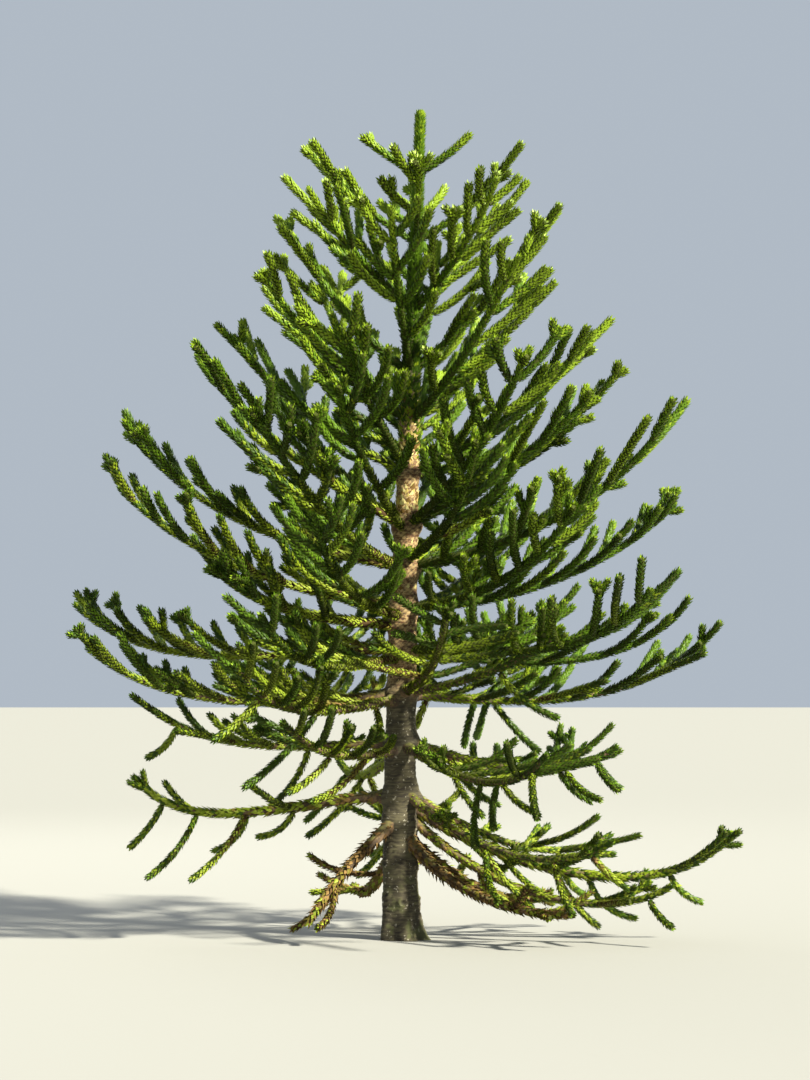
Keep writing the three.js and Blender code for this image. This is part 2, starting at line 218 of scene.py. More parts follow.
SECTORS = ["right", "back_right", "back", "back_left", "left", "front_left", "front", "front_right"]
print("whorls:", len({row["whorl"] for row in BOUGHS}), "and the crown under the leader")

# %% The courses of the limbs
UP = np.array([0.0, 0.0, 1.0])


def uneven(bough, place, use):
    """A fixed uneven number from -1 to 1 for each bough, place and use."""
    t = math.sin(bough * 12.9898 + place * 78.233 + use * 37.719) * 43758.5453
    return 2 * (t - math.floor(t)) - 1


def on_curve(handles, shares):
    """Places and directions at some shares of the smooth curve with these handles."""
    t = np.asarray(shares, float).reshape(-1, 1)
    rungs = list(handles)
    while len(rungs) > 2:
        rungs = [mix(a, b, t) for a, b in zip(rungs, rungs[1:])]
    way = rungs[1] - rungs[0]
    places = mix(rungs[0], rungs[1], t)
    return places, way / np.linalg.norm(way, axis=1, keepdims=True)


def curve_length(handles):
    """The length of the curve in metres."""
    places, _ = on_curve(handles, np.linspace(0, 1, 201))
    return float(np.linalg.norm(np.diff(places, axis=0), axis=1).sum())


def direction(compass, rise):
    """The unit vector at a compass angle and a slope, both in degrees."""
    a, b = math.radians(compass), math.radians(rise)
    return np.array([math.cos(a) * math.cos(b), math.sin(a) * math.cos(b), math.sin(b)])


def bough_handles(number, row, compass):
    """The handles of a limb, a little uneven so that no two limbs are alike."""
    drift = DRIFT * uneven(number, 0, 1)
    reach = row["reach"] * (1 + UNEVEN_REACH * uneven(number, 0, 2))
    climb = row["climb"] + UNEVEN_CLIMB * uneven(number, 0, 3)
    slope_at_foot = row["rise"][0] + UNEVEN_SLOPES[0] * uneven(number, 0, 4)
    slope_at_tip = row["rise"][1] + UNEVEN_SLOPES[1] * uneven(number, 0, 5)
    handle = math.hypot(reach, climb) / 3
    foot = trunk_axis(row["at"])
    tip = foot + reach * direction(compass, 0) + climb * UP
    leaving = foot + handle * direction(compass - drift, slope_at_foot)
    arriving = tip - handle * direction(compass + drift, slope_at_tip)
    return [foot, leaving, arriving, tip]


def make_bough(number, row, compass, name):
    """A limb: the numbers of its row, and with them its name, its handles and its length."""
    handles = bough_handles(number, row, compass)
    new = dict(number=number, name=f"{row['whorl']:02d}_{name}", compass=compass % 360)
    return PLAIN | row | new | dict(handles=handles, length=curve_length(handles))


boughs = []
for r, row in enumerate(BOUGHS, 1):
    for k, compass in enumerate(row["toward"]):
        sector = SECTORS[round(compass / 45) % len(SECTORS)]
        boughs.append(make_bough(ROW_NUMBERS * r + k, row, compass, sector))
print("limbs:", len(boughs), "of", round(sum(b["length"] for b in boughs), 1), "m in all")

# %% [markdown]
# ## Limbs between the limbs
# A whorl of the real tree has five or six limbs, and the CAD model has the three or four main ones.
# The others fill the wide gaps between them. They are a little shorter, so that the outline stays
# that of the main ones. The two lowest whorls have lost most of their limbs, and the few that are
# left over are written out. So are two short ones on the left that fill a hole in the fifth whorl.

# %% Fill the wide gaps in the whorls
WIDE_GAP = 80
FILLED_WHORLS = range(3, 9)
SHORTER = 0.83
BETWEEN_HANG = ([1.2, 2.1], [0.5, 0.0])
BETWEEN_BARE = 0.12
LEFT_OVER = [
    dict(whorl=1, at=0.7, toward=[106, 28], reach=1.1, climb=-0.46, rise=(-48, 14), bare=0.3, hang=0.3,
         thick=1.3),
    dict(whorl=2, at=0.97, toward=[322, 26], reach=1.6, climb=-0.32, rise=(-34, 34), bare=0.2,
         hang=0.5),
    dict(whorl=2, at=0.85, toward=[342, 8], reach=1.7, climb=-0.48, rise=(-46, 34), bare=0.24,
         hang=0.6),
    dict(whorl=5, at=1.98, toward=[206, 152], reach=1.35, climb=0.4, rise=(4, 46), bare=0.14),
]
BETWEEN_NUMBER, LEFT_OVER_NUMBER = 200, 300


def at_height(bough, table):
    """What a table of heights and values says for the height of a limb's foot."""
    return float(np.interp(bough["at"], *table))


main_boughs = list(boughs)
for whorl in FILLED_WHORLS:
    group = sorted((b for b in main_boughs if b["whorl"] == whorl), key=lambda b: b["compass"])
    for k, bough in enumerate(group):
        after = group[(k + 1) % len(group)]["compass"]
        gap = (after - bough["compass"]) % 360
        extra = 2 if gap > 2 * WIDE_GAP else 1
        for j in range(extra if gap > WIDE_GAP else 0):
            compass = bough["compass"] + gap * (j + 1) / (extra + 1)
            number = BETWEEN_NUMBER + 10 * whorl + 3 * k + j
            row = dict(bough, bare=BETWEEN_BARE, splay=0, apart=1, tint=0)
            row["reach"] = bough["reach"] * SHORTER
            row["climb"] = bough["climb"] * SHORTER
            row["at"] = bough["at"] + UNEVEN_AT * uneven(number, 1, 1)
            row["hang"] = at_height(bough, BETWEEN_HANG)
            boughs.append(make_bough(number, row, compass, f"between_{k}{j}"))
for r, row in enumerate(LEFT_OVER):
    for k, compass in enumerate(row["toward"]):
        number = LEFT_OVER_NUMBER + ROW_NUMBERS * r + k
        boughs.append(make_bough(number, row, compass, f"left_over_{k}"))
print("limbs with those between:", len(boughs))

# %% [markdown]
# ## The branching rule
# A shoot leaves its limb sideways and then turns up, or hangs where it is old and shaded. The shoots
# come in pairs, every 20 to 27 cm. They are longest in the middle of the limb and short near its
# tip. The real shoots also fork: the tip of a limb ends in a little crown of stubs, and some of the
# longer shoots have side shoots of their own. A shoot that would grow through another bough is left
# out, as on the real tree, where it would have died for want of light.
#
# Each stem is kept as a line of places. With each place go the radius of the woody core, the length
# and lean of the leaves, the share of the leaves that are still there, and the tone, which runs from
# 0 for dead brown to 1 for this year's pale green, and which also carries painted shade on the right
# of the tree and painted sunlight on the left.

# %% One leafy stem
BUD, BUD_SHARE = 0.036, 0.45
BUD_STEPS = (0.6, 0.3)
BUD_THINNER, BUD_SHORTER, BUD_CLOSER, BUD_PALER = 0.9, 0.40, 0.55, 0.2
STEM_STEP = 0.048
LEAF_LEAN = math.radians(28)
QUANTITIES = ("girth", "leaf", "lean", "cover", "tone")


def stem(handles, girth, leaf, tone, cover=(1, 1), lean=LEAF_LEAN, start=0.0):
    """One leafy stem along a curve. Pairs of values are for its two ends. start is the length in
    metres that is left out at its foot. The stem ends in a bud, where the leaves lie close."""
    length = curve_length(handles)
    bud = min(BUD, BUD_SHARE * length)
    steps = max(2, round((length - bud - start) / STEM_STEP))
    metres = np.linspace(start, length - bud, steps + 1)
    metres = np.append(metres, [length - step * bud for step in BUD_STEPS])
    share = metres / length
    places, _ = on_curve(handles, share)
    young = np.clip(1 - (length - metres) / bud, 0, 1)
    return {
        "places": places,
        "girth": mix(*girth, share) * np.sqrt(1 - BUD_THINNER * young**2),
        "leaf": mix(*leaf, share) * (1 - BUD_SHORTER * young),
        "lean": lean * (1 - BUD_CLOSER * young),
        "cover": mix(*cover, share),
        "tone": mix(*tone, share) + BUD_PALER * young,
    }


test_stem = stem([np.zeros(3), UP, 2 * UP], (0.01, 0.01), (0.04, 0.04), (0.5, 0.5))
print("places on a stem of 2 m:", len(test_stem["places"]))

# %% Where the leaves are old, and where light and shade are painted on them
AGE_TONES = (
    [0.7, 0.9, 1.24, 1.56, 1.83, 2.36, 3.0, 4.5],
    [0.06, 0.25, 0.28, 0.29, 0.32, 0.36, 0.45, 0.55],
)
TIP_GAIN, TIP_POWER = 0.20, 0.8
# SHADE_SIDE_GAIN is painted shade and sunlight. By height, it gives how far the tones on the right side
# are raised towards the darker greens, and how far those on the left are lowered towards the sunlit
# olive. SIDE_FADE is the share of it that is gone at the tip.
SHADE_SIDE_GAIN = ([1.2, 1.7, 2.4, 3.4], [0.04, 0.1, 0.12, 0.03])
SIDE_FADE = 0.6
AGEING = 0.05


def limb_tone(bough, share):
    """The tone of a limb's leaves: older low down and near the trunk, with painted shade that moves the
    right side to darker greens and painted sunlight that moves the left to a yellower olive. The
    difference between left and right is greatest near the trunk."""
    foot = at_height(bough, AGE_TONES)
    painted_light_and_shade = at_height(bough, SHADE_SIDE_GAIN) * math.cos(math.radians(bough["compass"]))
    side_tone = foot + painted_light_and_shade * (1 - SIDE_FADE * share)
    return side_tone + bough["tint"] - AGEING + TIP_GAIN * share**TIP_POWER


for bough in (boughs[0], boughs[20], boughs[-1]):
    print(bough["name"], [round(limb_tone(bough, s), 2) for s in (0, 0.5, 1)])

# %% The shoots of one limb
SHOOT_GIRTH = (0.019, 0.021)
SHOOT_LEAF = (0.034, 0.035)
SHOOT_THICKNESS = ([1.3, 2.4], [0.88, 1.06])
LIMB_COVER = ([1.0, 2.0], [0.5, 0.85])
LIMB_LEAF = (0.037, 0.035)
OLD_LIMB_LEAF = (0.052, 0.042)
LIMB_FOOT, LIMB_TIP, LIMB_TAPER = 0.028, 0.015, 0.75
# The first shoots of a limb have only SHORTEST of their full length, which the next ones reach at
# the pace of LENGTHENING. TIP_GROWTH is added to TIP_SHOOT for each metre away from the tip.
SHORTEST, LENGTHENING, TIP_GROWTH = 0.7, 2.2, 0.36
OUT_OF_STEP, UNEVEN_LENGTH, UNEVEN_RISE = 0.2, 0.24, 0.35
# The spread in degrees at the tip, the spread from FULL_SPREAD metres before it, and their luck.
TIP_SPREAD, FOOT_SPREAD, UNEVEN_SPREAD = 40, 60, 12
FULL_SPREAD = 0.9
# How a shoot leaves its limb, up or down, and how it turns at its bend: outwards, and for one that
# hangs also down and forwards.
LEAVING_UP, LEAVING_DOWN = 0.12, -1.5
TURNED_OUT, HANGING_RISE, HANGING_AHEAD = 0.35, -0.3, 0.7
SPLAY_FLATTENS = 120
BEFORE_BEND, AFTER_BEND = 0.52, 0.48
HANGING_GAP = 1.15


def limb_radius(bough, share):
    """The radius of the limb's wood, which narrows from its foot to its tip."""
    foot = min(LIMB_FOOT * bough["thick"], 0.5 * float(trunk_radius(bough["at"])))
    return mix(foot, LIMB_TIP, np.asarray(share, float) ** LIMB_TAPER)


def shoots_of(bough):
    """The shoots of a limb, each as (handles, share of the limb, length, whether it hangs)."""
    number, length, handles = bough["number"], bough["length"], bough["handles"]
    first = max(bough["bare"], (float(trunk_radius(bough["at"])) + SHADED) / length)
    apart = HANGING_GAP if bough["hang"] > 0.5 else bough["apart"]
    gap = at_height(bough, NODE_GAPS) * apart
    pairs = round(length * (1 - first) / gap)
    shoots = []
    for pair in range(1, pairs + 1):
        middle = mix(first, 1, (pair - 0.4) / (pairs + 0.5))
        from_tip = length * (1 - middle)
        shade = mix(SHORTEST, 1, min(1, LENGTHENING * pair / pairs))
        longest = shade * min(at_height(bough, SHOOT_LENGTHS), TIP_SHOOT + TIP_GROWTH * from_tip)
        for side in (-1, 1):
            s = middle + OUT_OF_STEP * gap / length * uneven(number, pair, side + 16)
            (foot,), (along,) = on_curve(handles, [s])
            left = np.cross(UP, along)
            left /= np.linalg.norm(left)
            ahead = np.cross(left, UP)
            size = longest * (1 + UNEVEN_LENGTH * uneven(number, pair, side + 4))
            spread = mix(TIP_SPREAD, FOOT_SPREAD, min(1, from_tip / FULL_SPREAD))
            spread = spread + UNEVEN_SPREAD * uneven(number, pair, side + 7)
            spread = math.radians(spread + bough["splay"])
            hangs = uneven(number, pair, side + 10) < 2 * bough["hang"] - 1
            leaving = along * math.cos(spread) + left * side * math.sin(spread)
            leaving = leaving + UP * (LEAVING_DOWN if hangs else LEAVING_UP)
            upwards = at_height(bough, SHOOT_RISES) - bough["splay"] / SPLAY_FLATTENS
            rising = HANGING_RISE if hangs else upwards
            rising = rising + UNEVEN_RISE * uneven(number, pair, side + 13)
            forward = HANGING_AHEAD if hangs else at_height(bough, SHOOT_AHEAD)
            turned = ahead * forward + left * TURNED_OUT * side + UP * rising
            bend = foot + leaving / np.linalg.norm(leaving) * size * BEFORE_BEND
            tip = bend + turned / np.linalg.norm(turned) * size * AFTER_BEND
            shoots.append(([foot, bend, tip], s, size, hangs))
    return shoots


print("shoots offered by the first limb:", len(shoots_of(boughs[0])))

# %% Forks at the tips
FORK_SPREAD = math.radians(46)
FORK_TURN = 0.12
FORK_LEANS, FORK_LENGTHS = (0.8, 1.15), (0.8, 1.2)
# A stub turns back to its stem's direction at its middle, and a little upwards.
FORK_AHEAD, FORK_UP, FORK_SCALE = 0.5, 0.25, 1.6


def forks(end, way, count, size, draw):
    """Short stubs round the end of a stem, all leaning out from its direction."""
    across = np.cross(way, UP if abs(way[2]) < 0.9 else np.array([1.0, 0.0, 0.0]))
    across /= np.linalg.norm(across)
    over = np.cross(across, way)
    first = draw.uniform(0, 2 * math.pi)
    stubs = []
    for k in range(count):
        angle = first + 2 * math.pi * (k + draw.uniform(-FORK_TURN, FORK_TURN)) / count
        out = across * math.cos(angle) + over * math.sin(angle)
        lean = FORK_SPREAD * draw.uniform(*FORK_LEANS)
        leaving = way * math.cos(lean) + out * math.sin(lean)
        length = size * draw.uniform(*FORK_LENGTHS)
        bend = end + leaving * length * 0.5
        tip = bend + (leaving + FORK_AHEAD * way + FORK_UP * UP) / FORK_SCALE * length * 0.5
        stubs.append([end, bend, tip])
    return stubs


print("stubs in a fork of 3:", len(forks(np.zeros(3), UP, 3, 0.1, np.random.default_rng(1))))

# %% [markdown]
# ## Growing the tree
# All the limbs come first, because every shoot has to keep clear of the other limbs. Then each
# bough's shoots are tried in turn against all that has grown so far. A single random generator with
# a fixed seed deals out the forks, the side shoots, the gaps and the tones, so the tree is the same
# on every run.

# %% Grow the stems
draw = np.random.default_rng(14)
KEEP_CLEAR = 0.062
LOWEST = 0.06
FORK_SIZE, FORK_OVERLAP = 0.12, 0.75
STUB_THINNER, STUB_SHORTER, STUB_PALER = 0.9, 0.92, 0.06
VIEW_LOW, VIEW_HIGH, VIEW_HALF = 1.75, 3.3, 0.13
STUB_NUMBER = -2
MANY_PLACES = 60000
stems = {whorl: [] for whorl in range(1, 15)}
taken = np.zeros((MANY_PLACES, 3))
owner = np.full(MANY_PLACES, -1)
used = 0


def take(number, places):
    """Marks places as grown over by the bough with this number."""
    global used
    taken[used : used + len(places)] = places
    owner[used : used + len(places)] = number
    used += len(places)


def is_clear(number, places):
    """Whether places are clear of the ground and of what other boughs have grown over."""
    others = taken[:used][owner[:used] != number]
    gaps = places[:, None, :] - others[None, :, :]
    return float((gaps**2).sum(axis=2).min()) > KEEP_CLEAR**2 and places[:, 2].min() > LOWEST


def hides_trunk(places):
    """Whether places lie before the light part of the trunk, as the viewer sees it."""
    x, y, z = places.T
    sight = EYE.z + (z - EYE.z) * EYE.y / (EYE.y - y)
    before = (np.abs(x - trunk_axis(sight)[:, 0]) < VIEW_HALF) & (y < 0)
    return bool((before & (sight > VIEW_LOW) & (sight < VIEW_HIGH)).any())


def end_in_forks(whorl, handles, girth, leaf, tone, count, cover, fork=FORK_SIZE):
    """Adds a fork of stubs to a stem. It starts before the stem's tip, so that all end together."""
    share = max(0.5, 1 - FORK_OVERLAP * fork / curve_length(handles))
    (end,), (way,) = on_curve(handles, [share])
    girth = (girth[1], girth[1] * STUB_THINNER)
    leaf = (leaf[1], leaf[1] * STUB_SHORTER)
    tone = (tone[1], tone[1] + STUB_PALER)
    for stub_handles in forks(end, way, count, fork, draw):
        stub = stem(stub_handles, girth, leaf, tone, (cover[1],) * 2)
        stems[whorl].append(stub)
        take(STUB_NUMBER, stub["places"])


for bough in boughs:
    places, _ = on_curve(bough["handles"], np.linspace(0, 1, 41))
    take(bough["number"], places)
print("places taken by limbs:", used)

# %% Grow the shoots of every bough
DROPPED, HIDING_DROPPED = 0.08, 0.7
SHOOT_START, INSIDE_TRUNK = 0.03, 0.8
TONE_LUCK = 0.085
LIKE_LIMB_TIP, SHOOT_TIP_PALER = 0.7, 0.03
TESTED_PLACES = np.linspace(0.25, 1, 9)
LIMBS_FORKED, SHOOTS_FORKED, SHOOTS_BRANCHED = 0.5, 0.12, 0.3
FORKED_LENGTH, BRANCHED_LENGTH = 0.25, 0.36
BRANCH_SHARES = (0.45, 0.62)
SHORT_FORK, SIDE_SHOOT = 0.1, 0.15
# The leaves of the second whorl lie closer.
FLATTER = {2: 0.85}

left_out = 0
for bough in boughs:
    whorl, number = bough["whorl"], bough["number"]
    cover = (at_height(bough, LIMB_COVER), 1)
    tone = (limb_tone(bough, 0), limb_tone(bough, 1))
    girth = (float(limb_radius(bough, 0)), float(limb_radius(bough, 1)))
    start = INSIDE_TRUNK * float(trunk_radius(bough["at"]))
    lean = LEAF_LEAN * FLATTER.get(whorl, 1)
    thickness = at_height(bough, SHOOT_THICKNESS)
    shoot_girth = [thickness * end for end in SHOOT_GIRTH]
    shoot_leaf = [thickness * end for end in SHOOT_LEAF]
    limb_leaf = OLD_LIMB_LEAF if bough["thick"] > 1 else LIMB_LEAF
    stems[whorl].append(stem(bough["handles"], girth, limb_leaf, tone, cover, lean, start))
    if draw.random() < LIMBS_FORKED:
        end_in_forks(whorl, bough["handles"], shoot_girth, shoot_leaf, tone, 3, cover)
    for handles, s, size, hangs in shoots_of(bough):
        places, _ = on_curve(handles, TESTED_PLACES)
        dropped = HIDING_DROPPED if hides_trunk(places) and not bough["splay"] else DROPPED
        if draw.random() < dropped or not is_clear(number, places):
            left_out += 1
            continue
        take(number, places)
        base = limb_tone(bough, s) + draw.normal(0, TONE_LUCK)
        shoot_tone = (base, mix(base, tone[1], LIKE_LIMB_TIP) + SHOOT_TIP_PALER)
        shoot_cover = (mix(*cover, s), cover[1])
        new = stem(handles, shoot_girth, shoot_leaf, shoot_tone, shoot_cover, lean, SHOOT_START)
        stems[whorl].append(new)
        if size > BRANCHED_LENGTH and not hangs and draw.random() < SHOOTS_BRANCHED:
            (foot,), (way,) = on_curve(handles, [draw.uniform(*BRANCH_SHARES)])
            (branch,) = forks(foot, way, 1, SIDE_SHOOT, draw)
            stems[whorl].append(stem(branch, shoot_girth, shoot_leaf, shoot_tone, shoot_cover))
        if size > FORKED_LENGTH and not hangs and draw.random() < SHOOTS_FORKED:
            count = draw.integers(2, 4)
            end_in_forks(whorl, handles, shoot_girth, shoot_leaf, shoot_tone, count, cover, SHORT_FORK)
grown = sum(len(group) for group in stems.values())
print("stems grown:", grown, "and shoots left out:", left_out)

# %% Grow the crown under the leader
CROWN_GIRTH, CROWN_FORK_GIRTH = (0.021, 0.021), (0.020, 0.020)
CROWN_LEAF = (0.036, 0.036)
CROWN_TONE, CROWN_FORK_TONE = (0.50, 0.64), (0.54, 0.66)

crown_shoots = [(row, compass) for row in CROWN for compass in row["toward"]]
for k, (row, compass) in enumerate(crown_shoots):
    handles = bough_handles(CROWN_NUMBER + k, row, compass)
    stems[14].append(stem(handles, CROWN_GIRTH, CROWN_LEAF, CROWN_TONE, start=SHOOT_START))
    if k == 0:
        end_in_forks(14, handles, CROWN_FORK_GIRTH, CROWN_LEAF, CROWN_FORK_TONE, 2, (1, 1), SHORT_FORK)
print("stems in the crown:", len(stems[14]))

# %% [markdown]
# ## Writing materials and Geometry Nodes as sums
# A node tree is hard to read when each maths node takes five lines. Here a small class wraps an
# output socket, so that Python's own +, -, * and > add the maths nodes. One method adds any other
# node: first its settings, then what goes into its sockets.

# %% A wire and a graph
class Wire:
    """The output socket of a node, which can stand in a sum."""

    def __init__(self, graph, socket):
        self.graph = graph
        self.socket = socket

    def maths(self, operation, first, second):
        return self.graph.node("ShaderNodeMath", {"operation": operation}, {0: first, 1: second})

    def __add__(self, other):
        return self.maths("ADD", self, other)

    __radd__ = __add__

    def __rsub__(self, other):
        return self.maths("SUBTRACT", other, self)

    def __mul__(self, other):
        return self.maths("MULTIPLY", self, other)

    __rmul__ = __mul__

    def __gt__(self, other):
        return self.maths("GREATER_THAN", self, other)


class Graph:
    """A node tree for a material or for Geometry Nodes."""

    def __init__(self, tree):
        self.tree = tree

    def node(self, kind, settings=None, inputs=None, output=0):
        """Adds a node, sets it up, feeds its sockets and gives back the wire from one output."""
        made = self.tree.nodes.new(kind)
        for name, value in (settings or {}).items():
            setattr(made, name, value)
        for name, value in (inputs or {}).items():
            self.feed(made.inputs[name], value)
        return Wire(self, made.outputs[output])

    def feed(self, socket, value):
        """Links a wire to a socket, or sets a plain value on it."""
        if isinstance(value, Wire):
            self.tree.links.new(value.socket, socket)
        else:
            socket.default_value = value


print("a graph's own tools:", [name for name in dir(Graph) if not name.startswith("_")])

# %% [markdown]
# ## Leaf colours
# A leaf lives for ten years or more. It starts pale, turns a deep glossy green, fades to olive and
# gold in the shade, and stays on the stem long after it is dead and brown. Each tone has a plain
# material of its own, because thousands of leaves are joined in one mesh and a pattern would fall on
# them anyhow. The leaves get their material one by one, by the tone of their stem and a little luck,
# and the mixture is what gives the foliage its depth.

# %% The leaf materials
# In each row are the name, the least tone that takes it, the colour and the roughness.
LEAF_TONES = [
    ("leaf_dead", -1.0, (0.080, 0.045, 0.014), 0.75),
    ("leaf_tan", 0.03, (0.175, 0.108, 0.036), 0.70),
    # The old gold is darkened to an olive brown, as painted shade on the low limbs under the crown.
    ("leaf_gold_painted_shade", 0.13, (0.120, 0.100, 0.014), 0.60),
    ("leaf_olive", 0.20, (0.205, 0.255, 0.022), 0.52),
    ("leaf_moss", 0.31, (0.140, 0.194, 0.008), 0.48),
    ("leaf_deep", 0.39, (0.029, 0.060, 0.004), 0.45),
    ("leaf_green", 0.46, (0.066, 0.128, 0.006), 0.45),
    ("leaf_bright", 0.58, (0.158, 0.238, 0.012), 0.45),
    ("leaf_young", 0.80, (0.345, 0.460, 0.110), 0.48),
]
LEAF_GLOSS = 0.15


def plain_material(name, colour, roughness):
    """A material of one colour, with the faint gloss of a waxy leaf."""
    material = bpy.data.materials.new(name)
    material.use_nodes = True
    shader = material.node_tree.nodes["Principled BSDF"]
    shader.inputs["Base Color"].default_value = (*colour, 1)
    shader.inputs["Roughness"].default_value = roughness
    shader.inputs["Specular IOR Level"].default_value = LEAF_GLOSS
    material.diffuse_color = (*colour, 1)
    return material


def tone_steps(rows):
    """The material and the least tone of each row of a table like the one above."""
    return [(plain_material(name, colour, roughness), least) for name, least, colour, roughness in rows]


leaf_steps = tone_steps(LEAF_TONES)
# The cores are dark: partly the stems' own colour, and partly painted shade in the gaps between the
# leaves.
twig_material = plain_material("twig_green", (0.040, 0.050, 0.008), 0.8)
old_twig_material = plain_material("twig_brown", (0.050, 0.030, 0.012), 0.9)
TWIG_STEPS = [(old_twig_material, -1.0), (twig_material, 0.3)]
print("leaf materials:", len(leaf_steps))

# %% [markdown]
# ## One leaf
# A monkey puzzle's leaf is a stiff triangle with a broad foot, a keel along its back and a sharp
# point. Four triangles are enough: they meet at a raised point on the keel, so each leaf catches the
# light on one flank and is in shade on the other.

# %% The leaf's shape
LEAF_HALF_WIDTH = 0.29
LEAF_SHOULDER = 0.34
LEAF_KEEL = 0.10

leaf_mesh = bpy.data.meshes.new("leaf_shape")
leaf_points = [
    (0.0, 0.0, -0.06),
    (0.0, LEAF_HALF_WIDTH, LEAF_SHOULDER),
    (0.0, -LEAF_HALF_WIDTH, LEAF_SHOULDER),
    (LEAF_KEEL, 0.0, 0.36),
    (-0.03, 0.0, 1.0),
]
leaf_mesh.from_pydata(leaf_points, [], [(0, 1, 3), (0, 3, 2), (3, 1, 4), (3, 4, 2)])
leaf_shape = bpy.data.objects.new("leaf_shape", leaf_mesh)
print("triangles in a leaf:", len(leaf_mesh.polygons))

# %% [markdown]
# ## Leaves along the stems
# On the real shoot each new leaf stands 137.5 degrees round from the last, the golden angle, so the
# leaves never stack up and show as two sets of spirals. Geometry Nodes do the same: points every few
# millimetres along each stem, each turned by the golden angle times its number, moved out to the
# surface of the core and leaned back by the stem's own lean. A second, simpler tree makes the cores.

# %% Tools for Geometry Nodes
GOLDEN_ANGLE = math.radians(137.508)
# How far a leaf strays from its place in the spiral and turns about its own length, in radians.
SPIN_LUCK, TWIST_LUCK = 0.16, 0.22
# The share of the core's radius at which a leaf's foot lies.
SUNK = 0.85


def new_tree(name, sizes):
    """A Geometry Nodes tree with named number inputs. Gives back its graph and its inputs."""
    tree = bpy.data.node_groups.new(name, "GeometryNodeTree")
    tree.interface.new_socket("Stems", in_out="INPUT", socket_type="NodeSocketGeometry")
    for size in sizes:
        tree.interface.new_socket(size, in_out="INPUT", socket_type="NodeSocketFloat")
    tree.interface.new_socket("Geometry", in_out="OUTPUT", socket_type="NodeSocketGeometry")
    graph = Graph(tree)
    entry = tree.nodes.new("NodeGroupInput")
    return graph, {socket.name: Wire(graph, socket) for socket in entry.outputs if socket.name}


def stored(graph, name):
    """The wire of one of the quantities that are stored with each place of a stem."""
    return graph.node("GeometryNodeInputNamedAttribute", {"data_type": "FLOAT"}, {"Name": name})


def random_number(graph, low, high, seed):
    """A random number for each leaf."""
    inputs = {2: low, 3: high, "Seed": seed}
    return graph.node("FunctionNodeRandomValue", {"data_type": "FLOAT"}, inputs, output=1)


def triple(graph, x, y, z):
    """Three numbers as one vector."""
    return graph.node("ShaderNodeCombineXYZ", None, {0: x, 1: y, 2: z})


def turn(graph, rotation, x, y, z):
    """The rotation, turned about its own axes."""
    by = graph.node("FunctionNodeEulerToRotation", None, {0: triple(graph, x, y, z)})
    return graph.node("FunctionNodeRotateRotation", {"rotation_space": "LOCAL"}, {0: rotation, 1: by})


def paint(graph, geometry, value, tones):
    """Sets a material for each step of a value: tones has (material, least value) pairs."""
    for material, least in tones:
        chosen = {"Geometry": geometry, "Selection": value > least, "Material": material}
        geometry = graph.node("GeometryNodeSetMaterial", None, chosen)
    return geometry


def end_tree(graph, geometry):
    """Links the geometry to the output and gives back the finished tree."""
    leaving = graph.tree.nodes.new("NodeGroupOutput")
    graph.feed(leaving.inputs["Geometry"], geometry)
    return graph.tree


print("golden angle:", round(math.degrees(GOLDEN_ANGLE), 3), "degrees")

# %% The tree that makes leaves
def leaf_tree(name, tones):
    """A tree that makes leaves along stems and paints each by its tone."""
    graph, given = new_tree(name, ("Spacing", "Tone spread", "Lean spread", "Size spread", "Width"))
    lines = graph.node("GeometryNodeMeshToCurve", None, {"Mesh": given["Stems"]})
    points = graph.node(
        "GeometryNodeCurveToPoints", {"mode": "LENGTH"}, {"Curve": lines, "Length": given["Spacing"]}
    )
    along = Wire(graph, points.socket.node.outputs["Rotation"])
    number = graph.node("GeometryNodeInputIndex")
    spin = number * GOLDEN_ANGLE + random_number(graph, -SPIN_LUCK, SPIN_LUCK, 3)
    round_stem = turn(graph, along, 0.0, 0.0, spin)
    spread = given["Lean spread"]
    lean = stored(graph, "lean") + spread * random_number(graph, -1.0, 1.0, 5)
    twist = random_number(graph, -TWIST_LUCK, TWIST_LUCK, 7)
    leaned = turn(graph, turn(graph, round_stem, 0.0, lean, 0.0), 0.0, 0.0, twist)
    tone = stored(graph, "tone") + given["Tone spread"] * random_number(graph, -1.0, 1.0, 11)
    named = {"Geometry": points, "Name": "tone", "Value": tone}
    points = graph.node("GeometryNodeStoreNamedAttribute", {"data_type": "FLOAT"}, named)
    out = triple(graph, stored(graph, "girth") * SUNK, 0.0, 0.0)
    out = graph.node("FunctionNodeRotateVector", None, {"Vector": out, "Rotation": round_stem})
    points = graph.node("GeometryNodeSetPosition", None, {"Geometry": points, "Offset": out})
    shape = graph.node("GeometryNodeObjectInfo", None, {"Object": leaf_shape}, output="Geometry")
    size = stored(graph, "leaf") * (1 + given["Size spread"] * random_number(graph, -1.0, 1.0, 13))
    there = stored(graph, "cover") > random_number(graph, 0.0, 1.0, 17)
    inputs = {"Points": points, "Selection": there, "Instance": shape, "Rotation": leaned}
    inputs["Scale"] = triple(graph, size, size * given["Width"], size)
    leaves = graph.node("GeometryNodeInstanceOnPoints", None, inputs)
    leaves = graph.node("GeometryNodeRealizeInstances", None, {"Geometry": leaves})
    return end_tree(graph, paint(graph, leaves, stored(graph, "tone"), tones))


leaves_tree = leaf_tree("leaves along stems", leaf_steps)
print("nodes in the leaf tree:", len(leaves_tree.nodes))

